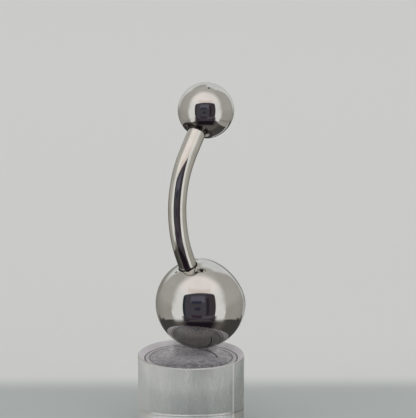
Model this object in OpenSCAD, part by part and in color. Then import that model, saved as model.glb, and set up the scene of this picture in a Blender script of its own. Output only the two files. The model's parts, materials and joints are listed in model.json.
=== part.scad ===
// A curved barbell for a navel piercing, standing on its large ball on a clear round rod.
// Millimetres. The origin is the centre of the rod's foot, and +Z is up.
// The bar bends in a plane that holds the X direction, and it opens towards +X.

/* [Stand] */
// Diameter of the clear rod
stand_d = 9.4; // [8:0.1:16]
// Height of the clear rod
stand_h = 6.3; // [4:0.1:20]
// Width of the bevel around the rod's two ends
stand_bevel = 0.12; // [0.05:0.01:0.4]
// How far the large ball stands from the rod's axis, towards the side the bend opens to
seat_x = 2.1; // [-2:0.05:2.5]
// How far the large ball stands from the rod's axis, across the bend's plane
seat_y = 0.65; // [-2:0.05:2]

/* [Large ball] */
// Diameter of the large ball
bottom_ball_d = 8; // [6:0.5:10]
// How deep the flat on the large ball is cut into its round side
flat_cut = 1.75; // [0.5:0.05:2]
// Radius of the rounded rim around the flat
flat_round = 0.25; // [0.1:0.05:0.4]

/* [Bar] */
// Diameter of the bar, 14 gauge
bar_d = 1.6; // [1.2:0.1:2]
// Radius of the bend, at the bar's centre line
bend_r = 9; // [8:0.5:20]
// Angle that the bend turns through
bend_angle = 60; // [20:1:80]
// Straight length below the bend, outside the large ball
lower_l = 1.1; // [0.5:0.1:3]
// Straight length above the bend, outside the small ball
upper_l = 2.3; // [0.5:0.1:3]
// How far the bar's lower end leans back, away from the side the bend opens to
lean = 21; // [5:0.5:35]
// How far the bend's plane tilts from upright, towards +Y
tilt = 4.5; // [0:0.5:10]
// How much smaller in radius the posts are than the bar
post_step = 0.2; // [0.15:0.05:0.3]
// Length of the post at each end of the bar
post_l = 2.6; // [1.5:0.1:2.8]
// Radius of the rounding on the bar's shoulders
shoulder_round = 0.14; // [0.05:0.01:0.14]

/* [Small ball] */
// Diameter of the small ball
top_ball_d = 5; // [4.5:0.5:7]
// Width of the narrow flat around the hole's mouth
mouth_rim = 0.19; // [0.1:0.01:0.25]
// Width of the sloping face inside that flat
countersink_w = 0.28; // [0.1:0.01:0.3]
// Depth of the sloping face, down to the seat of the bar's shoulder
countersink_depth = 0.25; // [0.15:0.05:0.5]

/* [Fits] */
// Gap between faces that meet
face_gap = 0.02; // [0.01:0.01:0.05]
// Gap around the bar and its lower post in the large ball, on the radius
press_gap = 0.02; // [0.01:0.01:0.05]
// Gap around the upper post in the small ball's hole, on the radius
thread_gap = 0.04; // [0.02:0.01:0.08]
// Gap around the bar's shoulder where it sits in the small ball, on the radius
shoulder_gap = 0.08; // [0.04:0.01:0.15]
// How deep the bar's lower end sits in the large ball
socket_depth = 0.3; // [0.1:0.05:0.6]
// Room past the end of each post
post_room = 0.2; // [0.1:0.05:0.4]

/* [Hidden] */
$fn = 96;

bottom_ball_r = bottom_ball_d / 2;
top_ball_r = top_ball_d / 2;
bar_r = bar_d / 2;
post_r = bar_r - post_step;
// Height of the large ball's centre
bottom_ball_z = stand_h + face_gap + bottom_ball_r;
// From the large ball's centre to where the bar's side meets its surface
bar_root = sqrt(pow(bottom_ball_r, 2) - pow(bar_r, 2));
// The hole's mouth in the small ball, from the bar outwards: seat, sloping face, narrow flat
seat_r = bar_r + shoulder_gap;
countersink_r = seat_r + countersink_w;
mouth_r = countersink_r + mouth_rim;
// From the small ball's centre to the flat around its hole
mouth_h = sqrt(pow(top_ball_r, 2) - pow(mouth_r, 2));
// How far the bar's shoulder reaches past that flat
shoulder_in = countersink_depth - face_gap;
// Cutting tools reach past the faces that they cut by this much
over = 1;
// Each seam between the bend and a straight stretch is closed by a bead that stands this proud
seam_proud = 0.001;

// Places its children at the large ball's centre, with +Z along the bar's lower end
// and +X towards the side that the bend opens to.
module at_bottom_ball() {
    translate([seat_x, seat_y, bottom_ball_z]) rotate([-tilt, 0, 0]) rotate([0, -lean, 0]) children();
}

// Places its children where the bar reaches the small ball's flat, with +Z along the bar's upper end.
module at_bar_top() {
    at_bottom_ball()
        translate([bend_r, 0, bar_root + lower_l])
            rotate([0, bend_angle, 0])
                translate([-bend_r, 0, upper_l])
                    children();
}

// A round rod from z = 0 upwards, with both edges bevelled.
module bevelled_rod(d, h, bevel) {
    rotate_extrude()
        polygon([[0, 0], [d / 2 - bevel, 0], [d / 2, bevel], [d / 2, h - bevel], [d / 2 - bevel, h], [0, h]]);
}

// A round bar from z = 0 upwards, with the upper edge rounded.
module round_ended_rod(r, h, round_r) {
    rotate_extrude() {
        square([r - round_r, h]);
        square([r, h - round_r]);
        translate([r - round_r, h - round_r]) circle(r = round_r);
    }
}

// A ball with a flat across its +Z side, whose rim is rounded.
// The rounding touches the flat and the ball, so its centre lies flat_h - round_r up
// and ball_r - round_r from the ball's centre.
module flatted_ball(ball_r, flat_h, round_r) {
    rim_z = flat_h - round_r;
    rim_x = sqrt(pow(ball_r - round_r, 2) - pow(rim_z, 2));
    reach = ball_r / (ball_r - round_r);
    rotate_extrude() {
        intersection() {
            circle(r = ball_r);
            translate([0, -ball_r - over]) square([ball_r + over, ball_r + over + rim_z * reach]);
        }
        polygon([[0, rim_z * reach], [rim_x * reach, rim_z * reach], [rim_x, flat_h], [0, flat_h]]);
        translate([rim_x, rim_z]) circle(r = round_r);
    }
}

module stand() {
    color("lavender", 0.35) bevelled_rod(stand_d, stand_h, stand_bevel);
}

module bottom_ball() {
    socket_r = bar_r + press_gap;
    hole_r = post_r + press_gap;
    socket_z = bar_root - socket_depth - face_gap;
    hole_z = bar_root - socket_depth - post_l - post_room;
    color("silver") at_bottom_ball() difference() {
        rotate([0, 90, 0]) flatted_ball(bottom_ball_r, bottom_ball_r - flat_cut, flat_round);
        translate([0, 0, socket_z]) cylinder(r = socket_r, h = bottom_ball_r);
        translate([0, 0, hole_z]) cylinder(r = hole_r, h = bottom_ball_r);
    }
}

module bar() {
    color("gainsboro") {
        at_bottom_ball() {
            translate([0, 0, bar_root - socket_depth - post_l]) cylinder(r = post_r, h = post_l + socket_depth);
            translate([0, 0, bar_root - socket_depth]) cylinder(r = bar_r, h = socket_depth + lower_l);
            translate([0, 0, bar_root + lower_l]) sphere(r = bar_r + seam_proud);
            translate([bend_r, 0, bar_root + lower_l])
                rotate([90, 0, 0]) mirror([1, 0, 0])
                    rotate_extrude(angle = bend_angle) translate([bend_r, 0]) circle(r = bar_r);
        }
        at_bar_top() {
            translate([0, 0, -upper_l]) sphere(r = bar_r + seam_proud);
            translate([0, 0, -upper_l]) round_ended_rod(bar_r, upper_l + shoulder_in, shoulder_round);
            cylinder(r = post_r, h = shoulder_in + post_l);
        }
    }
}

module top_ball() {
    hole_r = post_r + thread_gap;
    color("silver") at_bar_top() difference() {
        translate([0, 0, mouth_h]) sphere(r = top_ball_r);
        translate([0, 0, -top_ball_r]) cylinder(r = top_ball_r, h = top_ball_r);
        cylinder(r1 = countersink_r, r2 = seat_r, h = countersink_depth);
        cylinder(r = hole_r, h = shoulder_in + post_l + post_room);
    }
}

stand();
bottom_ball();
bar();
top_ball();
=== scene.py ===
# %% [markdown]
# # A curved navel barbell on its display rod
# The object is a curved bar of surgical steel, 1.6 mm thick, with a large ball at its foot and a small ball
# that screws off at its top. It stands on the large ball, on a short clear acrylic rod.
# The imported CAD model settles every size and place, so this lesson starts by loading it as a fixed frame.
# Its solids come as flat facets, which show at once in mirror-polished steel, so each one is replaced below
# by a smooth surface of the same form, worked out with numpy.

# %% Load the frame
import json
import math

import bpy
import numpy as np
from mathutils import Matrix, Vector


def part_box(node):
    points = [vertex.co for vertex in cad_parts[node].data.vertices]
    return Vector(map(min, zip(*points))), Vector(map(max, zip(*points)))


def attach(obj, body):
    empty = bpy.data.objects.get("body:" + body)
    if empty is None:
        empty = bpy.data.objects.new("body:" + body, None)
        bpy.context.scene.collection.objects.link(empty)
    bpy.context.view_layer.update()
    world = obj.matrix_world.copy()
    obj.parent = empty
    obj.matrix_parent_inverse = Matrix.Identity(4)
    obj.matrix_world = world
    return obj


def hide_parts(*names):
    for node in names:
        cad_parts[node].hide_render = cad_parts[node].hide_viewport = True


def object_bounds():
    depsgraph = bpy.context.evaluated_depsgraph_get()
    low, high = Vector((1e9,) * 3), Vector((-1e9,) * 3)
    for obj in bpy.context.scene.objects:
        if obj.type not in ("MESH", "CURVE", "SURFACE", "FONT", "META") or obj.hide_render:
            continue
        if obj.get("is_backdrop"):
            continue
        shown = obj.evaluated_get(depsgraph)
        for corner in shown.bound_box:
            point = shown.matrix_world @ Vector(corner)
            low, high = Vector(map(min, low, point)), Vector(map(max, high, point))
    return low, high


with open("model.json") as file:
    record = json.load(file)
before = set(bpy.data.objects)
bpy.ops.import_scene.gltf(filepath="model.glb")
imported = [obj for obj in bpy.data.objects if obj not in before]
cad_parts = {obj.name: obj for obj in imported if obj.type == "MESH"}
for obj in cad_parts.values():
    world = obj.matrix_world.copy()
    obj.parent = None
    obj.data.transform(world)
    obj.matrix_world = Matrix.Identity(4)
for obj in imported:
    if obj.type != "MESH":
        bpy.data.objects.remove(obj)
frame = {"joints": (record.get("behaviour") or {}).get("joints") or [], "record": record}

MM = 0.001
UP = np.array([0.0, 0.0, 1.0])
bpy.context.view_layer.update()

# %% [markdown]
# ## The camera
# The picture looks slightly down on the ring from one front corner, through a long lens. A camera could be
# aimed by eye. Here its place is given as angles and a distance from the centre of the rod's top, because
# those can be checked against the outlines in the photo one by one.

# %% Camera
IMAGE_W = 416
VIEW_AZIMUTH, VIEW_ELEVATION = -50, 16.6
VIEW_DISTANCE = 190 * MM
# How many degrees the camera looks below the horizon, and to the right of the rod's axis
AIM_DOWN, AIM_RIGHT = 12.751, 0.472
FOCAL_LENGTH_IN_PIXELS = 2143.7
SENSOR_W = 36


def direction(azimuth, elevation):
    """The unit vector towards an azimuth and elevation in degrees. Azimuth 0 is -Y and 90 is +X:
    (sin(a) cos(e), -cos(a) cos(e), sin(e))."""
    a, e = math.radians(azimuth), math.radians(elevation)
    return np.array([math.sin(a) * math.cos(e), -math.cos(a) * math.cos(e), math.sin(e)])


def new_object(name, data):
    """A new object at the origin, in the scene."""
    made = bpy.data.objects.new(name, data)
    bpy.context.scene.collection.objects.link(made)
    return made


TO_CAMERA, TO_RIGHT = direction(VIEW_AZIMUTH, 0), direction(VIEW_AZIMUTH + 90, 0)
rod_low, rod_high = (np.array(corner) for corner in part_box("stand"))
rod_top = rod_high[2] * UP
lens = bpy.data.cameras.new("camera")
lens.sensor_fit = "HORIZONTAL"
lens.sensor_width = SENSOR_W
lens.lens = SENSOR_W * FOCAL_LENGTH_IN_PIXELS / IMAGE_W
lens.clip_start = 10 * MM
lens.clip_end = 5
camera = new_object("camera", lens)
bpy.context.scene.camera = camera
camera.location = rod_top + VIEW_DISTANCE * direction(VIEW_AZIMUTH, VIEW_ELEVATION)
looking = -direction(VIEW_AZIMUTH - AIM_RIGHT, AIM_DOWN)
camera.rotation_euler = Vector(looking).to_track_quat("-Z", "Y").to_euler()
print("camera at mm:", [round(place / MM, 1) for place in camera.location], "lens", round(lens.lens, 1))

# %% [markdown]
# ## Sizes taken from the frame
# A maker would measure the ring with a calliper. The frame answers the same questions: a ball's width is the
# depth of its box, the mount called piercing lies on the bend, and the upper end points along the joint that
# takes the small ball off. The bend's radius follows, because one arc has to lead from the mount to that
# line, and the lower end is the tangent to the same arc that runs into the large ball's centre.

# %% Measure the frame
piercing = next(mount for mount in frame["record"]["mounts"] if mount["name"] == "piercing")
unscrew = next(joint for joint in frame["joints"] if joint["name"] == "unscrew")
# Decimals of a metre that leave a tenth and a hundredth of a millimetre
TENTH, HUNDREDTH = 4, 5


def unit(vector):
    """The vector at length 1."""
    return np.array(vector, float) / np.linalg.norm(vector)


def ball_size(node):
    """A ball's radius to a tenth of a millimetre, and its box's corners. No ball is cut on its -Y side."""
    low, high = (np.array(corner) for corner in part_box(node))
    return round((high[1] - low[1]) / 2, TENTH), low, high


large_r, low, high = ball_size("bottom_ball")
large_centre = np.array([low[0] + large_r, (low[1] + high[1]) / 2, low[2] + large_r])
small_r, low, high = ball_size("top_ball")
small_centre = np.array([high[0] - small_r, low[1] + small_r, high[2] - small_r])

bar_r = piercing["dims"]["r_mm"] * MM
on_bend = np.array(piercing["pos_m"])
middle_way = unit(piercing["axis"])
upper_way = unit(unscrew["axis"])
side_way = unit(np.cross(middle_way, upper_way))
inner_way = np.cross(side_way, middle_way)
upper_turn = math.acos(middle_way @ upper_way)
arc_step = math.sin(upper_turn) * middle_way + (1 - math.cos(upper_turn)) * inner_way
steps = np.stack([arc_step, upper_way], 1)
bend_r, upper_reach = np.linalg.lstsq(steps, small_centre - on_bend, rcond=None)[0]
bend_r = round(bend_r, TENTH)
to_large = large_centre - on_bend - bend_r * inner_way
lower_reach = math.sqrt(to_large @ to_large - bend_r**2)
lower_turn = math.atan2(-to_large @ middle_way, -to_large @ inner_way) - math.atan2(lower_reach, bend_r)
lower_way = math.cos(lower_turn) * middle_way - math.sin(lower_turn) * inner_way
print("large ball r", large_r / MM, "small ball r", small_r / MM, "bend r", bend_r / MM)
print("the bar bends through", round(math.degrees(lower_turn + upper_turn), 1), "degrees")

# %% [markdown]
# ## A skin through rings
# Balls, bars and rods are all turned or drawn on round tools, so each one is a row of rings. Blender's own
# primitives could be cut with booleans instead, but that leaves uneven triangles, which ripple in a mirror.
# A skin through rings keeps the mesh even, and its first and last ring shrink to a point that closes it.


# %% Rings to mesh
def ring_grid(centres, radii, across, beside, around):
    """Points on rings: centre + radius * (cos(a) * across + sin(a) * beside), for angles a all round.
    Centres are rows of XYZ. Radii are one number a ring, or one a point where a ring isn't round."""
    a = np.arange(around) * 2 * np.pi / around
    across, beside = (np.broadcast_to(way, centres.shape) for way in (across, beside))
    spokes = np.cos(a)[:, None] * across[:, None, :] + np.sin(a)[:, None] * beside[:, None, :]
    radii = np.broadcast_to(np.asarray(radii).reshape(len(centres), -1), (len(centres), around))
    return centres[:, None, :] + radii[:, :, None] * spokes


def enclosed_volume(points, triangles):
    """The volume inside a closed skin: a sixth of the sum of a . (b x c) over its triangles."""
    a, b, c = (points[triangles[:, corner]] for corner in range(3))
    return np.einsum("ij,ij->i", a, np.cross(b, c)).sum() / 6


def skin_faces(rings, around):
    """Four-sided faces between neighbouring rings, and the triangles that lead to the point at each end."""
    here = 1 + np.arange((rings - 2) * around).reshape(rings - 2, around)
    after = np.roll(here, -1, 1)
    quads = np.stack([here[:-1], after[:-1], after[1:], here[1:]], -1).reshape(-1, 4)
    first = np.stack([np.zeros(around, int), after[0], here[0]], -1)
    last = np.stack([here[-1], after[-1], np.full(around, here[-1, -1] + 1)], -1)
    return quads, first, last


def skin_uv(along_rings, around):
    """UV for those faces: u runs once round each ring, and v is the distance along the rings in metres."""
    turn, step = np.arange(around) / around, 1 / around
    u = np.broadcast_to(turn, (len(along_rings) - 3, around))
    v0, v1 = (np.broadcast_to(along_rings[rows, None], u.shape) for rows in (slice(1, -2), slice(2, -1)))
    quads = np.stack([u, v0, u + step, v0, u + step, v1, u, v1], -1).reshape(-1, 4, 2)
    start, second, before, end = (np.full(around, along_rings[row]) for row in (0, 1, -2, -1))
    first = np.stack([turn, start, turn + step, second, turn, second], -1).reshape(-1, 3, 2)
    last = np.stack([turn, before, turn + step, before, turn, end], -1).reshape(-1, 3, 2)
    return quads, first, last


def skin(name, grid):
    """A closed mesh through a grid of rings, whose first and last ring count as one point each.
    A skin whose volume comes out negative faces inwards, so all its faces are turned over."""
    rings, around = grid.shape[:2]
    points = np.vstack([grid[0, :1], grid[1:-1].reshape(-1, 3), grid[-1, :1]])
    middles = grid.mean(1)
    forward = np.linalg.norm(np.diff(middles, axis=0), axis=1)
    outward = np.diff(np.linalg.norm(grid[:, 0] - middles, axis=1))
    uv = skin_uv(np.concatenate([[0], np.cumsum(np.hypot(forward, outward))]), around)
    quads, first, last = skin_faces(rings, around)
    triangles = np.vstack([quads[:, :3], quads[:, [0, 2, 3]], first, last])
    volume = enclosed_volume(points - (points[0] + points[-1]) / 2, triangles)
    if volume < 0:
        quads, first, last, *uv = (part[:, ::-1] for part in (quads, first, last, *uv))
    mesh = bpy.data.meshes.new(name)
    mesh.from_pydata(points, [], [*quads.tolist(), *first.tolist(), *last.tolist()])
    mesh.uv_layers.new(name="run").data.foreach_set("uv", np.concatenate([part.reshape(-1) for part in uv]))
    mesh.shade_smooth()
    mesh.set_sharp_from_angle(angle=math.radians(30))
    mesh.validate()
    print(f"{name}: {len(triangles)} triangles, {abs(volume) / MM**3:.1f} mm3")
    return new_object(name, mesh)


# %% [markdown]
# Half outlines of turned pieces are built from two strokes, a straight stretch and a round one. A point of
# an outline is its distance from the axis and its height along it. A stroke's last number is how many points
# it has, few where it is hidden. Straight stretches bunch their points towards both ends, so that a flat
# face stays flat to the eye right up to its rounded edge.

# %% Outline strokes
SAME_POINT = 1e-4 * MM


def stretch(start, end, count):
    """A straight stroke: start + (end - start) * (1 - cos(pi t)) / 2, for t from 0 to 1."""
    share = (1 - np.cos(np.linspace(0, np.pi, count))) / 2
    return np.array(start) + share[:, None] * (np.array(end) - np.array(start))


def stretches(corners, counts):
    """Straight strokes from corner to corner."""
    return [stretch(*stroke) for stroke in zip(corners, corners[1:], counts)]


def sweep(centre, radius, start, end, count):
    """A round stroke: centre + radius * (cos(a), sin(a)), for angles a from start to end in radians."""
    a = np.linspace(start, end, count)
    return np.array(centre) + radius * np.stack([np.cos(a), np.sin(a)], 1)


def outline(*strokes):
    """Joins strokes, and leaves out points that repeat the one before."""
    points = np.vstack(strokes)
    fresh = np.linalg.norm(np.diff(points, axis=0), axis=1) > SAME_POINT
    return points[np.concatenate([[True], fresh])]


def turned(name, profile, origin, axis, across, around):
    """A turned piece: each outline point (radius, height) becomes a ring round origin + height * axis."""
    centres = origin + profile[:, 1:] * axis
    return skin(name, ring_grid(centres, profile[:, 0], across, np.cross(axis, across), around))


# %% [markdown]
# ## The large ball
# The foot of the bar is pressed into an 8 mm steel ball. On the side that the bend opens to, the ball has a
# flat with a softly rounded rim, which shows as the straight run in its outline. One set of rings has to
# serve two round features that lie at right angles, the bar's socket and the flat. A plane that turns about
# a line outside the ball cuts it in rings that never cross, so such rings lead evenly from one to the other.

# %% Large ball
FLAT_H = 2.25 * MM
FLAT_ROUND = 0.25 * MM
FIT_GAP = 0.02 * MM
SOCKET_DEPTH = 0.3 * MM
SOCKET_LIP = 0.1 * MM
POST_STEP = 0.2 * MM
POST_LENGTH = 2.6 * MM
POST_ROOM = 0.2 * MM
LARGE_AROUND = 256

flat_way = np.cross(side_way, lower_way)
post_r = bar_r - POST_STEP
bar_root = math.sqrt(large_r**2 - bar_r**2)
socket_r = bar_r + FIT_GAP


def turning_planes(ball_r, first_way, first_h, last_way, last_h, count):
    """Rings on a ball between two of its circles. The first lies in the plane first_way . x = first_h, and
    the last in last_way . x = last_h. A plane between them is (1 - t) * first - t * last, and t is chosen so
    that the rings' far sides are evenly spaced on the ball. Returns each ring's centre, radius and across."""
    start = math.asin(math.sqrt(ball_r**2 - first_h**2) / ball_r)
    end = 1.5 * math.pi - math.acos(last_h / ball_r)
    a = np.linspace(start, end, count)
    far = ball_r * (np.cos(a)[:, None] * first_way - np.sin(a)[:, None] * last_way)
    past_first, past_last = far @ first_way - first_h, far @ last_way - last_h
    t = past_first / (past_first + past_last)
    normal = (1 - t)[:, None] * first_way - t[:, None] * last_way
    length = np.linalg.norm(normal, axis=1)
    height = ((1 - t) * first_h - t * last_h) / length
    normal /= length[:, None]
    return normal * height[:, None], np.sqrt(ball_r**2 - height**2), np.cross(side_way, normal)


def inner_tangent(ball_r, round_r, x):
    """The centre (x, height) of a small round that touches a ball from inside: x^2 + height^2 = (R - r)^2."""
    return np.array([x, math.sqrt((ball_r - round_r) ** 2 - x**2)])


# The flat's rounding touches the flat and the ball, so its centre lies a rounding's radius inside both.
rim_centre = inner_tangent(large_r, FLAT_ROUND, FLAT_H - FLAT_ROUND)[::-1]
rim_touch = rim_centre * large_r / (large_r - FLAT_ROUND)


def large_ball():
    """The hole, the socket with its rounded lip, the round side and the flat, as one row of rings."""
    hole_r = post_r + FIT_GAP
    socket_z = bar_root - SOCKET_DEPTH - FIT_GAP
    hole_z = bar_root - SOCKET_DEPTH - POST_LENGTH - POST_ROOM
    lip_centre = inner_tangent(large_r, SOCKET_LIP, socket_r + SOCKET_LIP)
    lip_end = math.atan2(lip_centre[1], lip_centre[0])
    hole = [(0, hole_z), (hole_r, hole_z), (hole_r, socket_z)]
    socket = [(socket_r, socket_z), (socket_r, lip_centre[1])]
    inside = outline(
        *stretches(hole + socket, (4, 6, 4, 6)),
        sweep(lip_centre, SOCKET_LIP, math.pi, lip_end, 10)[:-1],
    )
    lip_h = large_r * math.sin(lip_end)
    centres, radii, across = turning_planes(large_r, lower_way, lip_h, flat_way, rim_touch[1], 130)
    face = outline(
        sweep(rim_centre, FLAT_ROUND, math.atan2(rim_centre[1], rim_centre[0]), math.pi / 2, 12)[1:],
        stretch((rim_centre[0], FLAT_H), (0, FLAT_H), 12),
    )
    return skin("large_ball", ring_grid(
        large_centre + np.vstack([inside[:, 1:] * lower_way, centres, face[:, 1:] * flat_way]),
        np.concatenate([inside[:, 0], radii, face[:, 0]]),
        np.vstack([np.tile(flat_way, (len(inside), 1)), across, np.tile(lower_way, (len(face), 1))]),
        side_way, LARGE_AROUND,
    ))


large = large_ball()
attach(large, "ring_and_stand")
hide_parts("bottom_ball")

# %% [markdown]
# ## The small ball
# The small ball is drilled and tapped, and its hole's mouth is countersunk, with a narrow turned flat around
# it. The bar's rounded shoulder sits inside that cone, so a dark ring shows beneath the ball, and painted
# shade in the cone's corners deepens it. It is a plain turned piece, so one half outline and one axis make
# it, with the small rounds that polishing leaves.

# %% Small ball
MOUTH_RIM = 0.19 * MM
CONE_W = 0.28 * MM
CONE_DEPTH = 0.25 * MM
SHOULDER_GAP = 0.08 * MM
THREAD_GAP = 0.04 * MM
SHOULDER_IN = CONE_DEPTH - FIT_GAP
EDGE_ROUND = 0.03 * MM
SMALL_AROUND = 224
seat_r = bar_r + SHOULDER_GAP
cone_r = seat_r + CONE_W
mouth_r = cone_r + MOUTH_RIM
mouth_h = math.sqrt(small_r**2 - mouth_r**2)
bar_top = small_centre - mouth_h * upper_way


def small_ball():
    """From the end of the tapped hole, out over the seat, cone and narrow flat, and round the ball."""
    hole_r = post_r + THREAD_GAP
    hole_end = SHOULDER_IN + POST_LENGTH + POST_ROOM
    slope = math.atan2(CONE_DEPTH, CONE_W)
    cone_end = cone_r - EDGE_ROUND * math.cos(slope), EDGE_ROUND * math.sin(slope)
    lip = math.asin(mouth_r / small_r)
    hole = [(0, hole_end), (hole_r, hole_end), (hole_r, CONE_DEPTH)]
    profile = outline(
        *stretches(hole + [(seat_r, CONE_DEPTH), cone_end], (4, 8, 6, 8)),
        stretch((cone_r + EDGE_ROUND, 0), (mouth_r - EDGE_ROUND, 0), 8),
        sweep((0, mouth_h), small_r, lip - math.pi / 2 + EDGE_ROUND / small_r, math.pi / 2, 110),
    )
    profile[-1, 0] = 0
    return turned("small_ball", profile, bar_top, upper_way, np.cross(side_way, upper_way), SMALL_AROUND)


small = small_ball()
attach(small, "small_ball")
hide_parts("top_ball")

# %% [markdown]
# ## The bar
# The bar is drawn wire. It is straight where it leaves each ball and bent round one arc between, and both
# ends are turned down to thinner posts. A curve object with a round bevel would give the bend but not the
# shoulders or the thread, so the rings follow the path and take their radius from the distance along it.

# %% Bar
SHOULDER_ROUND = 0.14 * MM
POST_TIP = 0.15 * MM
THREAD_PITCH = 0.25 * MM
THREAD_DEPTH = 0.13 * MM
THREAD_POWER = 0.8
BEND_RINGS = 60
THREAD_RINGS = 120
BAR_AROUND = 120
arc_start, arc_end = -bend_r * lower_turn, bend_r * upper_turn


def bar_path(distance):
    """Points and directions at distances along the bar from the mount on its bend. The angle turned is
    distance / bend radius, held between the bend's two ends, and what is left over runs straight on:
    mount + R * (sin(a) * up + (1 - cos(a)) * inwards) + rest * direction."""
    a = np.clip(distance / bend_r, -lower_turn, upper_turn)[:, None]
    way = np.cos(a) * middle_way + np.sin(a) * inner_way
    arc = on_bend + bend_r * (np.sin(a) * middle_way + (1 - np.cos(a)) * inner_way)
    return arc + (distance[:, None] - bend_r * a) * way, way


def thread_cut(distance, turn):
    """How deep the thread is cut at a distance and a share of a turn: a wave that rises once each pitch and
    climbs one pitch a turn, depth * (0.5 - 0.5 cos(2 pi (distance / pitch - turn))) ** power."""
    phase = distance / THREAD_PITCH - turn
    return THREAD_DEPTH * (0.5 - 0.5 * np.cos(2 * np.pi * phase)) ** THREAD_POWER


def curved_bar():
    """Lower post, lower shoulder, the drawn bar, the rounded upper shoulder and the threaded post."""
    lower_seat = arc_start - (lower_reach - bar_root) - SOCKET_DEPTH
    upper_seat = arc_end + upper_reach - mouth_h + SHOULDER_IN
    round_z, round_x = upper_seat - SHOULDER_ROUND, bar_r - SHOULDER_ROUND
    post_end = upper_seat + POST_LENGTH
    tip = post_end - POST_TIP
    foot = lower_seat - POST_LENGTH
    lower = [(0, foot), (post_r, foot), (post_r, lower_seat), (bar_r, lower_seat), (bar_r, arc_start)]
    profile = outline(
        *stretches(lower, (4, 6, 4, 16)),
        np.stack([np.full(BEND_RINGS, bar_r), np.linspace(arc_start, arc_end, BEND_RINGS)], 1),
        stretch((bar_r, arc_end), (bar_r, round_z), 16),
        sweep((round_x, round_z), SHOULDER_ROUND, 0, math.pi / 2, 10),
        stretch((round_x, upper_seat), (post_r, upper_seat), 4),
        np.stack([np.full(THREAD_RINGS, post_r), np.linspace(upper_seat, tip, THREAD_RINGS)], 1),
        *stretches([(post_r, tip), (post_r - POST_TIP, post_end), (0, post_end)], (5, 4)),
    )
    centres, way = bar_path(profile[:, 1])
    turn = np.arange(BAR_AROUND) / BAR_AROUND
    on_post = (profile[:, 1] > upper_seat) & (profile[:, 1] <= tip)
    cut = np.where(on_post[:, None], thread_cut(profile[:, 1:] - upper_seat, turn), 0)
    across = np.cross(side_way, way)
    return skin("curved_bar", ring_grid(centres, profile[:, :1] - cut, across, side_way, BAR_AROUND))


bar = curved_bar()
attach(bar, "ring_and_stand")
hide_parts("bar")

# %% [markdown]
# ## The clear rod
# The stand is a slice of clear acrylic rod, with a narrow bevel around both faces. Light bends into it, runs
# down inside and comes out again, so it has to be a closed solid with clean faces. It is turned like the
# small ball, with a small round on each side of its bevels, which catches the bright line along its edge.

# %% Clear rod
ROD_BEVEL = 0.12 * MM
ROD_ROUND = 0.04 * MM
ROD_AROUND = 256
rod_r = round((rod_high[0] - rod_low[0]) / 2, HUNDREDTH)
rod_h = round(rod_high[2] - rod_low[2], TENTH)


def rounded_corners(corners, radius, side_count=14, round_count=6):
    """A half outline with each inner corner rounded. The round touches both sides of the corner, so it
    starts radius * tan(turn / 2) before the corner and ends as far after it."""
    corners = np.array(corners)
    strokes = []
    leave = corners[0]
    for before, corner, after in zip(corners, corners[1:], corners[2:]):
        into, out = unit(corner - before), unit(after - corner)
        turn = math.acos(np.clip(into @ out, -1, 1))
        reach = radius * math.tan(turn / 2)
        meet = corner - reach * into
        centre = meet + radius * unit(out - (out @ into) * into)
        a = np.linspace(0, turn, round_count)[:, None]
        strokes.append(stretch(leave, meet, side_count))
        strokes.append(centre + np.cos(a) * (meet - centre) + np.sin(a) * radius * into)
        leave = corner + reach * out
    return outline(*strokes, stretch(leave, corners[-1], side_count))


rod_outline = rounded_corners([
    (0, 0), (rod_r - ROD_BEVEL, 0), (rod_r, ROD_BEVEL),
    (rod_r, rod_h - ROD_BEVEL), (rod_r - ROD_BEVEL, rod_h), (0, rod_h),
], ROD_ROUND)
rod = turned("clear_rod", rod_outline, np.zeros(3), UP, np.array([1.0, 0.0, 0.0]), ROD_AROUND)
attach(rod, "ring_and_stand")
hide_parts("stand")

# %% [markdown]
# ## Building materials from nodes
# Every finish below is a small node tree. A few helpers add the nodes, so that a tree reads like a list of
# steps. Patterns lie in Object coordinates, in metres, so noise of scale 1000 has marks about 1 mm apart.

# %% Node helpers
# The Mix node's sockets for the share and the two colours, and for the colour that comes out
MIX_INPUTS, MIX_OUTPUT = (0, 6, 7), 2


def fill(tree, socket, value):
    """Links an input to another node's output, or sets it to a plain value."""
    if isinstance(value, bpy.types.NodeSocket):
        tree.links.new(value, socket)
    else:
        socket.default_value = value


def put(tree, kind, inputs=(), **fields):
    """Adds a shader node, sets its fields and fills its inputs."""
    made = tree.nodes.new("ShaderNode" + kind)
    for field, value in fields.items():
        setattr(made, field, value)
    for name, value in dict(inputs).items():
        fill(tree, made.inputs[name], value)
    return made


def empty_material(name):
    """A material without nodes, and its node tree."""
    material = bpy.data.materials.new(name)
    material.use_nodes = True
    material.node_tree.nodes.clear()
    return material, material.node_tree


def object_place(tree):
    """The place on the object, in metres."""
    return put(tree, "TexCoord").outputs["Object"]


def faded(tree, value, low, high, out_low=0.0, out_high=1.0):
    """The value eased from out_low at low to out_high at high."""
    return put(tree, "MapRange", {
        "Value": value, "From Min": low, "From Max": high, "To Min": out_low, "To Max": out_high,
    }, interpolation_type="SMOOTHSTEP").outputs["Result"]


def maths(tree, operation, *values):
    """The result of one Math node."""
    return put(tree, "Math", dict(enumerate(values)), operation=operation).outputs[0]


def of_vectors(tree, operation, *values):
    """The result of one Vector Math node, a number or a vector."""
    node = put(tree, "VectorMath", dict(enumerate(values)), operation=operation)
    return node.outputs["Value" if operation in ("DOT_PRODUCT", "DISTANCE", "LENGTH") else "Vector"]


def product(tree, value, *others):
    """The product of several values."""
    for other in others:
        value = maths(tree, "MULTIPLY", value, other)
    return value


def largest(tree, value, *others):
    """The largest of several values."""
    for other in others:
        value = maths(tree, "MAXIMUM", value, other)
    return value


def between(tree, value, low, high, soft):
    """1 between low and high and 0 outside, eased over the softness at both ends."""
    rise = faded(tree, value, low - soft, low + soft)
    return product(tree, rise, faded(tree, value, high - soft, high + soft, 1.0, 0.0))


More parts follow.
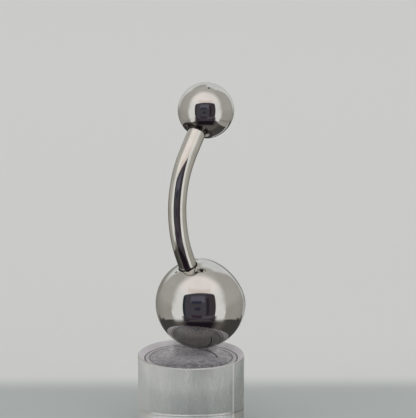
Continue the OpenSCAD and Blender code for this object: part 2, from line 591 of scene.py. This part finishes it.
def mixed(tree, share, first, second):
    """A colour between two colours."""
    node = put(tree, "Mix", data_type="RGBA")
    for socket, value in zip(MIX_INPUTS, (share, first, second)):
        fill(tree, node.inputs[socket], value)
    return node.outputs[MIX_OUTPUT]


def noise(tree, place, scale, detail=5.0, roughness=0.5, distortion=0.0, turn=(0, 0, 0)):
    """Noise over a place that is first scaled, by one number or by one for each axis, and then turned."""
    placed = put(tree, "Mapping", {"Vector": place, "Rotation": turn, "Scale": np.full(3, scale, float)})
    return put(tree, "TexNoise", {
        "Vector": placed.outputs["Vector"], "Scale": 1.0, "Detail": detail, "Roughness": roughness,
        "Distortion": distortion,
    }).outputs[0]


def along(tree, place, way):
    """How far a place lies along a direction."""
    return of_vectors(tree, "DOT_PRODUCT", place, way)


def from_circle(tree, place, middle, axis, radius):
    """The distance from a circle: height = (p - middle) . axis and out = length((p - middle) x axis) give
    hypot(out - radius, height)."""
    spoke = of_vectors(tree, "SUBTRACT", place, middle)
    out = of_vectors(tree, "LENGTH", of_vectors(tree, "CROSS_PRODUCT", spoke, axis))
    off = put(tree, "CombineXYZ", {
        "X": maths(tree, "SUBTRACT", out, radius), "Y": along(tree, spoke, axis)})
    return of_vectors(tree, "LENGTH", off.outputs["Vector"])


def tilted(tree, marks, strength, depth):
    """The surface's direction, tilted by marks."""
    return put(tree, "Bump", {"Height": marks, "Strength": strength, "Distance": depth}).outputs["Normal"]


def veiled(tree, share, shader, cover):
    """Ends a material: one shader, covered by another to a share."""
    surface = put(tree, "MixShader", {0: share, 1: shader.outputs[0], 2: cover.outputs[0]})
    put(tree, "OutputMaterial", {"Surface": surface.outputs[0]})


# %% [markdown]
# ## Mirror-polished steel
# The balls are buffed surgical steel. It could be one metal shader with a low roughness, but real buffing
# leaves hair-fine marks that run every way, a little haze where the wheel loaded up, and here and there a
# pit. Painted near-black shade darkens the turned corners and the gap at the bar's foot, and a painted dark
# line runs along the flat's rim. The marks are noise stretched in three directions, which tilts the surface
# by a fraction of a degree.

# %% Polished steel
STEEL, HAZY_STEEL = (0.72, 0.712, 0.70), (0.655, 0.648, 0.63, 1)
# Steel is darker where it is seen edge on.
EDGE_ON = (0.66, 0.66, 0.66, 1)
CLEAR_HAZE, THICK_HAZE = 0.35, 0.7
BUFFING_TURNS = [(0.3, 0.2, 0.1), (1.4, 0.5, 0.9), (0.6, 1.2, 2.2)]
# Near-black painted shade for turned corners and rims: its colour, the share of its reach that is fully dark,
# its roughness, and how far into the gap at the bar's foot its circle lies
PAINTED_SHADE, PAINTED_SHADE_CORE, PAINTED_SHADE_ROUGHNESS = (0.03, 0.03, 0.03, 1), 0.4, 0.4
PAINTED_SHADE_SUNK = 0.03 * MM


def buffing_marks(tree, place, scale, stretched, turns):
    """Fine marks: noise squeezed in one direction, added up over several turns of that direction."""
    marks = [noise(tree, place, (scale, scale, scale * stretched), 3.0, 0.6, turn=turn) for turn in turns]
    total = marks[0]
    for more in marks[1:]:
        total = maths(tree, "ADD", total, more)
    return total


def painted_shade_near(tree, place, middle, axis, radius, reach, dark):
    """How much painted shade lies near a turned corner's circle, by its reach and how dark it is there."""
    near = from_circle(tree, place, middle, axis, radius)
    return faded(tree, near, PAINTED_SHADE_CORE * reach, reach, dark, 0.0)


def metal(tree, colour, roughness, edge_on, normal):
    """Ends a material with bare metal."""
    shader = put(tree, "BsdfPrincipled", {
        "Base Color": colour, "Metallic": 1.0, "Roughness": roughness, "Specular Tint": edge_on,
        "Normal": normal,
    })
    put(tree, "OutputMaterial", {"Surface": shader.outputs["BSDF"]})


def polished_steel(name, pit_at, pit_r, corners):
    """Mirror steel with buffing marks, patches of haze, one small pit, and painted shade in the turned
    corners.
    """
    material, tree = empty_material(name)
    place = object_place(tree)
    haze = noise(tree, place, scale=420)
    pit = faded(tree, of_vectors(tree, "DISTANCE", place, pit_at), 0.5 * pit_r, pit_r, 1.0, 0.0)
    # The pit, and painted shade along the turned corners and the flat's rim, darken the steel.
    pit_and_painted_shade = largest(tree, pit, *(painted_shade_near(tree, place, *corner) for corner in corners))
    clean = mixed(tree, faded(tree, haze, CLEAR_HAZE, THICK_HAZE), (*STEEL, 1), HAZY_STEEL)
    dulled = faded(tree, haze, 0.4, 0.75, 0.03, 0.07)
    marks = buffing_marks(tree, place, scale=9000, stretched=0.06, turns=BUFFING_TURNS)
    metal(
        tree, mixed(tree, pit_and_painted_shade, clean, PAINTED_SHADE),
        maths(tree, "MULTIPLY_ADD", pit_and_painted_shade, PAINTED_SHADE_ROUGHNESS, dulled),
        EDGE_ON, tilted(tree, marks, strength=0.25, depth=0.0004 * MM))
    return material


# Painted shade, for each corner its circle's middle, axis and radius, the shade's reach, and how dark it is:
# in the gap at the bar's foot, as a dark line along the flat's rim, and in the small ball's countersunk
# mouth.
FOOT_GAP = (large_centre + (bar_root - PAINTED_SHADE_SUNK) * lower_way, lower_way, bar_r, 0.12 * MM, 0.95)
FLAT_RIM = (large_centre + rim_touch[1] * flat_way, flat_way, rim_touch[0], 0.4 * MM, 0.65)
MOUTH_CORNERS = [
    (bar_top, upper_way, mouth_r, 0.08 * MM, 0.85),
    (bar_top, upper_way, cone_r, 0.07 * MM, 0.85),
    (bar_top + CONE_DEPTH * upper_way, upper_way, seat_r, 0.16 * MM, 0.85),
]
# Each pit has its middle and its radius.
LARGE_PIT = (large_centre + large_r * direction(-111.1, 52.2), 0.14 * MM)
SMALL_PIT = (small_centre + small_r * direction(-38.2, 61), 0.13 * MM)
large.data.materials.append(polished_steel("polished_steel_large", *LARGE_PIT, [FLAT_RIM, FOOT_GAP]))
small.data.materials.append(polished_steel("polished_steel_small", *SMALL_PIT, MOUTH_CORNERS))
print("polished steel on", large.name, "and", small.name)

# %% [markdown]
# ## Drawn bar steel
# The bar is polished too, but its marks run along it, from being pulled through the polishing wheel. They
# follow the bend, so they can't be placed by Object coordinates. The skin's own UV map runs round and along
# the bar, and noise that is fine across it and long along it gives marks that turn with the bar.

# %% Bar steel
BAR_STEEL, HAZY_BAR_STEEL = (0.75, 0.738, 0.705, 1), (0.68, 0.668, 0.635, 1)
BAR_EDGE_ON = (0.25, 0.25, 0.25, 1)


def bar_steel():
    """Polished steel with long marks that follow the bar."""
    material, tree = empty_material("bar_steel")
    run = put(tree, "UVMap", uv_map="run").outputs["UV"]
    marks = noise(tree, run, scale=(90, 700, 1), detail=4.0, roughness=0.65)
    place = object_place(tree)
    haze = noise(tree, place, scale=700)
    clean = mixed(tree, faded(tree, haze, CLEAR_HAZE, THICK_HAZE), BAR_STEEL, HAZY_BAR_STEEL)
    # The bar's foot gets the same painted shade where it enters the large ball.
    metal(
        tree, mixed(tree, painted_shade_near(tree, place, *FOOT_GAP), clean, PAINTED_SHADE),
        faded(tree, marks, 0.3, 0.7, 0.05, 0.11),
        BAR_EDGE_ON, tilted(tree, marks, strength=0.3, depth=0.0008 * MM))
    return material


bar.data.materials.append(bar_steel())
print("drawn steel on", bar.name)

# %% [markdown]
# ## Clear acrylic
# Acrylic bends light almost as much as glass. The rod's side keeps a gloss, and its sawn ends are matt. A
# thin film of dried adhesive lies on the top, wrinkled, with dark lines at its edges, and a painted dark arc
# of shade lies under the ball. On the side's front a dulled strip lies between two painted highlight lines,
# graded from painted light to painted shade, with a band of painted light to its left and one of painted
# shade to its right. The top bevel has a pale matt veil that is partly a painted highlight. Each could be a
# thin piece of its own. Here they are a veil, a share of plain matt colour over the clear plastic, because
# none of them has a thickness that shows. They are placed on the rod itself, so they turn with it.

# %% Marks on the rod
LINE_COLOUR = (0.04, 0.04, 0.05, 1)
TOP_COLOUR = (0.9, 0.87, 0.96, 1)
THIN_FILM_COLOUR, THICK_FILM_COLOUR = (0.3, 0.285, 0.34, 1), (0.11, 0.104, 0.125, 1)
# Places and lines on the top are in millimetres, to the right and to the camera's side.
FILM_AT = (0, 1.3)
FILM_R, FILM_SOFT = 3.8 * MM, 0.25 * MM
FILM_THINS, FILM_THICKENS = 1.6 * MM, 4.4 * MM
THICK_VEIL = 0.32
OUTER_LINE, INNER_LINE = (FILM_AT, 4.05, 0.09, 0.9), (FILM_AT, 3.62, 0.07, 0.75)
# A painted dark arc of contact shade under the ball, which shows only near a place
SHADE_ARC_UNDER_BALL = ((-1.24, 1.51), 3.55, 0.1, 0.95)
SHADE_ARC_NEAR = (1.36, -0.9)
# The side's marks and its painted light and shade lie on its front, and fade in between two depths.
FRONT = (-1.5 * MM, 1 * MM)
# On the side's front: a strip between two painted highlight lines, graded from painted light on its left to
# painted shade on its right, with a band of painted light to its left and one of painted shade to its right.
STRIP_HALF, HIGHLIGHT_LINE_HALF = 0.785 * rod_r, 0.06 * MM
STRIP_PAINTED_LIGHT, STRIP_PAINTED_SHADE = (0.8, 0.8, 0.79, 1), (0.41, 0.42, 0.41, 1)
BAND_VEIL = 0.5
# A pale matt colour, used as painted light beside the strip and on its highlight lines and as the bevel's
# veil, and a colour of painted shade
PALE_MATT_AND_PAINTED_LIGHT, PAINTED_SHADE_BAND = (0.9, 0.9, 0.9, 1), (0.26, 0.27, 0.26, 1)


def top_place(to_right, to_camera):
    """A place on the rod's top, from millimetres to the right and to the camera's side of its middle."""
    return MM * (to_right * TO_RIGHT + to_camera * TO_CAMERA) + rod_top


def top_line(tree, place, middle, radius, half, dark):
    """A thin dark line along a level circle, its sizes in millimetres."""
    near = from_circle(tree, place, top_place(*middle), UP, radius * MM)
    return faded(tree, near, 0.5 * half * MM, half * MM, dark, 0.0)


def near_place(tree, place, at, core, reach):
    """1 within the core's distance of a place on the top, eased to 0 at its reach."""
    return faded(tree, of_vectors(tree, "DISTANCE", place, top_place(*at)), core, reach, 1.0, 0.0)


def top_marks(tree, place, wrinkles):
    """The veil on the rod's top and its colour: pale haze, the darker film, dark lines, and painted shade
    under the ball.
    """
    # A painted dark arc of shade under the ball, shown only near one place on the top
    near_shade_arc = near_place(tree, place, SHADE_ARC_NEAR, core=2.24 * MM, reach=2.8 * MM)
    shade_arc = product(tree, near_shade_arc, top_line(tree, place, *SHADE_ARC_UNDER_BALL))
    outer, inner = (top_line(tree, place, *line) for line in (OUTER_LINE, INNER_LINE))
    lines = largest(tree, outer, inner, shade_arc)
    in_film = near_place(tree, place, FILM_AT, FILM_R - FILM_SOFT, FILM_R + FILM_SOFT)
    thick = faded(tree, along(tree, place, TO_CAMERA), FILM_THINS, FILM_THICKENS)
    haze = faded(tree, wrinkles, 0.3, 0.7, 0.4, 0.55)
    film = maths(tree, "MULTIPLY_ADD", thick, THICK_VEIL, faded(tree, wrinkles, 0.4, 0.62, 0.05, 0.6))
    veil = maths(tree, "MULTIPLY_ADD", in_film, maths(tree, "SUBTRACT", film, haze), haze)
    film_colour = mixed(tree, thick, THIN_FILM_COLOUR, THICK_FILM_COLOUR)
    colour = mixed(tree, in_film, TOP_COLOUR, film_colour)
    return largest(tree, veil, lines), mixed(tree, lines, colour, LINE_COLOUR)


def side_marks_and_painted_light(tree, place):
    """The veil on the rod's side and its colour: a dulled strip graded from painted light on its left to
    painted shade on its right, between two painted highlight lines, and beside it a band of painted light to
    the left and one of painted shade to the right."""
    across = along(tree, place, TO_RIGHT)
    in_front = faded(tree, along(tree, place, TO_CAMERA), *FRONT)
    strip = between(tree, across, -STRIP_HALF, STRIP_HALF, soft=0.04 * MM)
    widths = STRIP_HALF + HIGHLIGHT_LINE_HALF, STRIP_HALF - HIGHLIGHT_LINE_HALF
    with_highlight_lines, without = (between(tree, across, -half, half, soft=0.03 * MM) for half in widths)
    dull = faded(tree, noise(tree, place, (330, 330, 90), roughness=0.65), 0.35, 0.65, 0.4, 0.75)
    veil = maths(tree, "MULTIPLY_ADD", strip, maths(tree, "SUBTRACT", dull, BAND_VEIL), BAND_VEIL)
    # Painted light and shade: the strip graded across, bands beside it, and highlight lines at its edges
    painted_grading = mixed(tree, faded(tree, across, -STRIP_HALF, 0.0), STRIP_PAINTED_LIGHT, STRIP_PAINTED_SHADE)
    painted_bands = mixed(tree, faded(tree, across, -1 * MM, 1 * MM), PALE_MATT_AND_PAINTED_LIGHT, PAINTED_SHADE_BAND)
    highlight_lines = maths(tree, "SUBTRACT", with_highlight_lines, without)
    return product(tree, in_front, veil), mixed(tree, highlight_lines, mixed(tree, strip, painted_bands, painted_grading), PALE_MATT_AND_PAINTED_LIGHT)


print("strip", round(2 * STRIP_HALF / MM, 1), "mm wide, film", round(2 * FILM_R / MM, 1), "mm across")

# %% Clear acrylic
SIDE_TINT, END_TINT, SHEEN_TINT = (0.95, 0.965, 0.955, 1), (0.97, 0.955, 0.985, 1), (0.93, 0.89, 1.0, 1)
END_MATT = 0.3
# How much of the top bevel the pale veil covers: partly sanding, partly a painted highlight
BEVEL_VEIL = 0.5
TURNING_MARKS = [(0.0, 1.5708, 0.4)]
WRINKLE_SHARE = 4.0


def plastic(tree, place, on_top, on_end, wrinkles):
    """Clear plastic with fine turning marks, matt on its ends, and with a faint sheen on its top."""
    marks = buffing_marks(tree, place, scale=6000, stretched=0.04, turns=TURNING_MARKS)
    folds = maths(tree, "MULTIPLY_ADD", product(tree, on_top, wrinkles), WRINKLE_SHARE, marks)
    cloud = faded(tree, noise(tree, place, 900, roughness=0.65), 0.4, 0.75, 0.01, 0.05)
    return put(tree, "BsdfPrincipled", {
        "Base Color": mixed(tree, on_top, SIDE_TINT, END_TINT), "Transmission Weight": 1.0, "IOR": 1.49,
        "Roughness": maths(tree, "MULTIPLY_ADD", on_end, END_MATT, cloud),
        "Normal": tilted(tree, folds, strength=0.3, depth=0.0006 * MM),
        "Sheen Weight": product(tree, on_top, faded(tree, wrinkles, 0.3, 0.7, 0.8, 1.0)),
        "Sheen Roughness": 0.3, "Sheen Tint": SHEEN_TINT,
    })


def clear_acrylic():
    """Clear plastic with a veil over it where the marks, the painted light and shade, and the bevel are."""
    material, tree = empty_material("clear_acrylic")
    place = object_place(tree)
    height = put(tree, "SeparateXYZ", {"Vector": place}).outputs["Z"]
    on_top = faded(tree, height, rod_h - 0.03 * MM, rod_h - 0.01 * MM)
    on_end = largest(tree, on_top, faded(tree, height, 0.01 * MM, 0.03 * MM, 1.0, 0.0))
    on_side = maths(tree, "SUBTRACT", 1.0, on_end)
    # The top bevel's pale matt veil is partly sanding and partly a painted highlight along its edge.
    bevel = between(tree, height, rod_h - ROD_BEVEL, rod_h - 0.02 * MM, 0.01 * MM)
    wrinkles = noise(tree, place, scale=(1300, 1300, 0), roughness=0.65, distortion=1.6)
    top_veil, top_colour = top_marks(tree, place, wrinkles)
    side_veil, side_colour = side_marks_and_painted_light(tree, place)
    veil = largest(
        tree, product(tree, on_top, top_veil), product(tree, on_side, side_veil),
        product(tree, bevel, BEVEL_VEIL))
    colour = mixed(tree, on_top, mixed(tree, bevel, side_colour, PALE_MATT_AND_PAINTED_LIGHT), top_colour)
    matt = put(tree, "BsdfDiffuse", {"Color": colour})
    veiled(tree, veil, plastic(tree, place, on_top, on_end, wrinkles), matt)
    return material


rod.data.materials.append(clear_acrylic())
print("clear acrylic on", rod.name)

# %% [markdown]
# ## The light tent
# Polished steel shows nothing but its surroundings, so the light is the finish. The ring stands in a white
# tent with a dark opening towards the camera, a round patch of bright cloth around it, duller side walls, a
# bright back and a dark base. A tent could be modelled from cards. Here it is painted on the world by
# direction, so that both balls mirror the same tent, and the camera itself sees only a plain pale shade.

# %% Tent shades
# One row for each panel, in degrees, with the shade that steel shows. Front angles are measured from the
# camera's side, and back angles from the far side, positive to the right.
TENT = [
    # facing, left, right, bottom, top, soft sides, soft ends, shade
    ("front", -180, 180, -100, -29, 1, 2, (60, 59, 55)),
    ("front", -80, 72, -77, -29, 16, 9, (84, 79, 75)),
    ("front", -180, 180, -29, 100, 1, 1.2, (148, 145, 138)),
    ("front", -180, 180, -4, 100, 1, 10, (157, 154, 147)),
    ("front", -180, 0, 68, 100, 12, 8, (180, 177, 171)),
    ("front", -76, 66, -30, 8, 8, 8, (206, 205, 201)),
    ("back", -64, 64, -100, -26, 8, 1.5, (62, 61, 58)),
    ("back", -42, 42, -100, -21, 6, 1.5, (70, 68, 66)),
    ("back", -42, 42, -8, 38, 6, 6, (206, 206, 203)),
    ("back", 2, 46, 34, 58, 6, 6, (198, 199, 196)),
    ("back", -90, 90, 60, 100, 10, 8, (165, 162, 156)),
]
# The round patch of bright cloth, in degrees, and the shades below and above in it
GLOW_AZIMUTH, GLOW_ELEVATION = -5, 25
GLOW_REACH, GLOW_SOFT = 65, 11
GLOW_FOOT, GLOW_FOOT_SOFT = -27, 8
GLOW_BELOW, GLOW_ABOVE = (206, 205, 201), (218, 211, 206)
WARM_FROM, WARM_TO = 25, 50
# What lies close around the opening, over the bright cloth
SURROUND = [
    ("front", -44, 36, 38, 50, 6, 4, (204, 193, 185)),
    ("front", -48, 41, -33, -19, 5, 2, (52, 45, 50)),
    ("front", -31, 27, -31.5, -29, 6, 0.8, (84, 78, 82)),
    ("front", -50, 44, -53, -31, 15, 5, (24, 19, 25)),
]
# The opening lies in a front wall that leans a little. One row for each part of it, in shares of the wall's
# distance: left, right, bottom and top, the corners' radius, how soft the edge is, and the shade.
WALL_LEAN = 0.15
OPENING = [
    (-1.05, 0.8, -0.56, 0.775, 0.12, 0.03, (63, 61, 65)),
    (-1.04, -0.84, -0.5, 0.68, 0.05, 0.05, (38, 44, 48)),
    (-0.48, 0.2, 0.3, 0.6, 0.05, 0.05, (83, 81, 90)),
    (-0.42, 0.04, 0.23, 0.36, 0.03, 0.03, (45, 46, 57)),
    (-0.26, 0.0, -0.06, 0.08, 0.05, 0.04, (44, 40, 54)),
    (0.27, 0.78, -0.4, 0.7, 0.05, 0.04, (56, 51, 54)),
    (0.25, 0.4, -0.3, 0.5, 0.05, 0.05, (40, 35, 40)),
    (-0.46, 0.05, -0.48, -0.3, 0.04, 0.04, (50, 38, 49)),
    (0.1, 0.68, -0.5, -0.37, 0.03, 0.05, (74, 70, 74)),
]
PALE_SHADE = (200, 200, 197)


def shade(colour, mirrored_by=(1, 1, 1)):
    """A display shade from 0 to 255 as light, so that a mirror of that colour shows the shade:
    ((c / 255 + 0.055) / 1.055) ** 2.4 / mirror."""
    bright = ((np.array(colour) / 255 + 0.055) / 1.055) ** 2.4 / np.array(mirrored_by)
    return (*bright.tolist(), 1.0)


print("tent panels:", len(TENT) + len(SURROUND), "parts of the opening:", len(OPENING))


# %% Tent on the world
def laid_panels(tree, colour, rows, angles, elevation):
    """The colour with panels laid over it, one by one. A panel that runs all round has no sides."""
    for facing, left, right, bottom, top, soft_sides, soft_ends, tone in rows:
        wide = between(tree, angles[facing], left, right, soft_sides) if right - left < 360 else 1.0
        share = product(tree, wide, between(tree, elevation, bottom, top, soft_ends))
        colour = mixed(tree, share, colour, shade(tone, STEEL))
    return colour


def laid_glow(tree, colour, way, elevation):
    """The colour with the round patch of bright cloth laid over it."""
    middle = direction(VIEW_AZIMUTH + GLOW_AZIMUTH, GLOW_ELEVATION)
    off = maths(tree, "DEGREES", maths(tree, "ARCCOSINE", along(tree, way, middle)))
    inside = faded(tree, off, GLOW_REACH - GLOW_SOFT, GLOW_REACH + GLOW_SOFT, 1.0, 0.0)
    above_foot = faded(tree, elevation, GLOW_FOOT - GLOW_FOOT_SOFT, GLOW_FOOT + GLOW_FOOT_SOFT)
    warmth = faded(tree, elevation, WARM_FROM, WARM_TO)
    glow = mixed(tree, warmth, shade(GLOW_BELOW, STEEL), shade(GLOW_ABOVE, STEEL))
    return mixed(tree, product(tree, inside, above_foot), colour, glow)


def inside_card(tree, place, left, right, bottom, top, corner, soft):
    """1 inside a rectangle with round corners and 0 outside: the distance outside the rectangle's core,
    length(max(|p - centre| - core, 0)), compared with the corners' radius."""
    centre = ((left + right) / 2, (bottom + top) / 2, 0)
    core = ((right - left) / 2 - corner, (top - bottom) / 2 - corner, 0)
    for operation, *value in ("SUBTRACT", centre), ("ABSOLUTE",), ("SUBTRACT", core), ("MAXIMUM", (0, 0, 0)):
        place = of_vectors(tree, operation, place, *value)
    return faded(tree, of_vectors(tree, "LENGTH", place), corner - soft, corner + soft, 1.0, 0.0)


def laid_opening(tree, colour, to_right, towards, up):
    """The colour with the opening laid over it. A direction meets the leaning wall at to_right / depth and
    up / depth, where depth = towards + lean * up."""
    depth = largest(tree, maths(tree, "MULTIPLY_ADD", up, WALL_LEAN, towards), 0.01)
    x, y = (maths(tree, "DIVIDE", value, depth) for value in (to_right, up))
    on_wall = put(tree, "CombineXYZ", {"X": x, "Y": y}).outputs["Vector"]
    for *edges, tone in OPENING:
        colour = mixed(tree, inside_card(tree, on_wall, *edges), colour, shade(tone, STEEL))
    return colour


def tent_world():
    """The world's colour by direction: the panels, the glow, the opening's surround and the opening."""
    world = bpy.data.worlds.new("light_tent")
    world.use_nodes = True
    tree = world.node_tree
    tree.nodes.clear()
    way = put(tree, "TexCoord").outputs["Generated"]
    to_right, towards, up = (along(tree, way, axis) for axis in (TO_RIGHT, TO_CAMERA, UP))
    elevation = maths(tree, "DEGREES", maths(tree, "ARCSINE", up))
    angles = {
        facing: maths(tree, "DEGREES", maths(tree, "ARCTAN2", to_right, ahead))
        for facing, ahead in (("front", towards), ("back", product(tree, towards, -1.0)))
    }
    colour = laid_panels(tree, shade(TENT[0][-1], STEEL), TENT, angles, elevation)
    colour = laid_glow(tree, colour, way, elevation)
    colour = laid_panels(tree, colour, SURROUND, angles, elevation)
    colour = laid_opening(tree, colour, to_right, towards, up)
    seen = put(tree, "LightPath").outputs["Is Camera Ray"]
    background = put(tree, "Background", {"Color": mixed(tree, seen, colour, shade(PALE_SHADE))})
    put(tree, "OutputWorld", {"Surface": background.outputs["Background"]})
    return world


bpy.context.scene.world = tent_world()
print("the world is", bpy.context.scene.world.name)

# %% [markdown]
# ## Near walls
# The tent's side and back walls stand so close that the small ball looks down on their foot more steeply
# than the large ball does. A direction alone can't show that, so each of these walls is also a card that
# only mirrors see. The walls fade out towards their tops, and the two legs in front fade in from their feet.

# %% Near walls
AWAY = 37 * MM
LEFT_FRONT, RIGHT_FRONT = 8 * MM, 16 * MM
LEFT_LEG, RIGHT_LEG = 28 * MM, 35 * MM
WALL_FOOT = -8.7 * MM
WALL_TOP, LEG_TOP, LEFT_BACK_TOP, RIGHT_BACK_TOP = 16 * MM, 5 * MM, 30 * MM, 7 * MM
HARD, LEG_SOFT = 0.5 * MM, 9 * MM
WALL_SHADE, LEG_SHADE, BACK_SHADE = (144, 141, 134), (204, 203, 199), (176, 176, 172)
NEAR_WALLS = [
    # name, start, end, top, soft top, soft foot, shade
    ("left_leg", (-AWAY, LEFT_LEG), (-AWAY, LEFT_FRONT), LEG_TOP, HARD, LEG_SOFT, LEG_SHADE),
    ("right_leg", (AWAY, RIGHT_LEG), (AWAY, RIGHT_FRONT), LEG_TOP, HARD, LEG_SOFT, LEG_SHADE),
    ("left_wall", (-AWAY, LEFT_FRONT), (-AWAY, -AWAY), WALL_TOP, WALL_TOP, HARD, WALL_SHADE),
    ("right_wall", (AWAY, RIGHT_FRONT), (AWAY, -AWAY), WALL_TOP, WALL_TOP, HARD, WALL_SHADE),
    ("left_back", (-AWAY, -AWAY), (0, -AWAY), LEFT_BACK_TOP, WALL_TOP, HARD, WALL_SHADE),
    ("right_back", (0, -AWAY), (AWAY, -AWAY), RIGHT_BACK_TOP, RIGHT_BACK_TOP, HARD, BACK_SHADE),
]


def stage_mesh(name, points, faces):
    """A mesh that belongs to the stage."""
    mesh = bpy.data.meshes.new(name)
    mesh.from_pydata(points, [], faces)
    piece = new_object(name, mesh)
    piece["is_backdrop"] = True
    return piece


def near_wall(name, start, end, top, soft_top, soft_foot, tone):
    """A glowing upright card that only mirrored rays meet, between two places given as right and towards
    the camera."""
    feet = [right * TO_RIGHT + towards * TO_CAMERA + WALL_FOOT * UP for right, towards in (start, end)]
    rise = (top - WALL_FOOT) * UP
    wall = stage_mesh(name, [*feet, feet[1] + rise, feet[0] + rise], [(0, 1, 2, 3)])
    for sight in ("camera", "diffuse", "transmission", "shadow", "volume_scatter"):
        setattr(wall, f"visible_{sight}", False)
    material, tree = empty_material(name)
    height = put(tree, "SeparateXYZ", {"Vector": object_place(tree)}).outputs["Z"]
    above_foot = faded(tree, height, WALL_FOOT, WALL_FOOT + soft_foot)
    below_top = faded(tree, height, top - soft_top, top, 1.0, 0.0)
    glow = put(tree, "Emission", {"Color": shade(tone, STEEL)})
    veiled(tree, product(tree, above_foot, below_top), put(tree, "BsdfTransparent"), glow)
    wall.data.materials.append(material)


for row in NEAR_WALLS:
    near_wall(*row)
print("cards that only mirrors see:", [row[0] for row in NEAR_WALLS])

# %% [markdown]
# ## The floor
# The stage is a plain pale table, large enough to fill the picture, with a painted soft shadow, a darker
# patch under and before the ring. Steel would mirror it as a bright lower half, but the tent has a dark base.
# So mirrored rays don't meet the table, and it lets light through that a mirror has sent through the rod.

# %% Floor
FLOOR_R, FLOOR_AROUND = 0.7, 128
FLOOR_DROP = 0.03 * MM
PALE_LOW, PALE_HIGH = (0.725, 0.752, 0.758, 1), (0.745, 0.772, 0.778, 1)
# The painted shadow's colour, where it begins behind the ring, and how far it reaches before and beside it
PAINTED_SHADOW = (0.474, 0.522, 0.533, 1)
SHADOW_BACK, SHADOW_BACK_SOFT = -11.4 * MM, 2.5 * MM
SHADOW_FRONT, SHADOW_SIDE, SHADOW_FADE = 10 * MM, 18 * MM, 34 * MM


def pale_table(tree):
    """A fine pale grain, with painted shade in a patch that begins behind the ring and fades out before it.
    """
    place = object_place(tree)
    ahead = along(tree, place, TO_CAMERA)
    aside = maths(tree, "ABSOLUTE", along(tree, place, TO_RIGHT))
    # A painted soft shadow under and before the ring
    patch = product(
        tree, faded(tree, ahead, SHADOW_BACK - SHADOW_BACK_SOFT, SHADOW_BACK + SHADOW_BACK_SOFT),
        faded(tree, ahead, SHADOW_FRONT, SHADOW_FRONT + SHADOW_FADE, 1.0, 0.0),
        faded(tree, aside, SHADOW_SIDE, SHADOW_SIDE + SHADOW_FADE, 1.0, 0.0))
    grain = noise(tree, place, scale=1500, detail=4.0)
    colour = mixed(tree, patch, mixed(tree, grain, PALE_LOW, PALE_HIGH), PAINTED_SHADOW)
    return put(tree, "BsdfPrincipled", {"Base Color": colour, "Roughness": 0.9})


def floor():
    """A flat round table top, just under the rod's foot."""
    a = np.arange(FLOOR_AROUND) * 2 * np.pi / FLOOR_AROUND
    rim = np.stack([FLOOR_R * np.cos(a), FLOOR_R * np.sin(a), np.full(FLOOR_AROUND, -FLOOR_DROP)], 1)
    table = stage_mesh("table", rim, [list(range(FLOOR_AROUND))])
    table.visible_glossy = False
    material, tree = empty_material("pale_table")
    mirrored = maths(tree, "GREATER_THAN", put(tree, "LightPath").outputs["Glossy Depth"], 0.5)
    veiled(tree, mirrored, pale_table(tree), put(tree, "BsdfTransparent"))
    table.data.materials.append(material)


floor()
print("pale table, m across:", 2 * FLOOR_R)

# %% [markdown]
# ## The overhead light
# The tent lights the ring from all sides. One soft box above adds the faint shadow that settles the rod on
# the table. It isn't mirrored, because a tent hides its lamps. Light runs back and forth between the balls,
# the bar and the rod, so rays may bounce more often than usual.

# %% Overhead light
BOX_AT = Vector((0.15, 0.15, 0.5))


def soft_box():
    """A square soft box that is aimed at the rod's foot. No mirror and no camera sees it."""
    lamp = bpy.data.lights.new("overhead_soft_box", "AREA")
    lamp.size = 0.4
    lamp.energy = 0.5
    box = new_object("overhead_soft_box", lamp)
    box.location = BOX_AT
    box.rotation_euler = (-BOX_AT).to_track_quat("-Z", "Y").to_euler()
    box.visible_glossy = False
    box.visible_camera = False
    return box


scene = bpy.context.scene
scene.view_settings.view_transform = "Standard"
scene.cycles.max_bounces = 24
scene.cycles.glossy_bounces = 16
scene.cycles.transmission_bounces = 20
print("light:", soft_box().name)

# %% [markdown]
# ## Finish
# The last cell prints the box of the smooth pieces. It should agree with the CAD model's box to about a
# hundredth of a millimetre, because each smooth surface keeps its solid's form.

# %% Finish
low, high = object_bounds()
print("visual box in mm:", [round(side / MM, 2) for side in high - low])
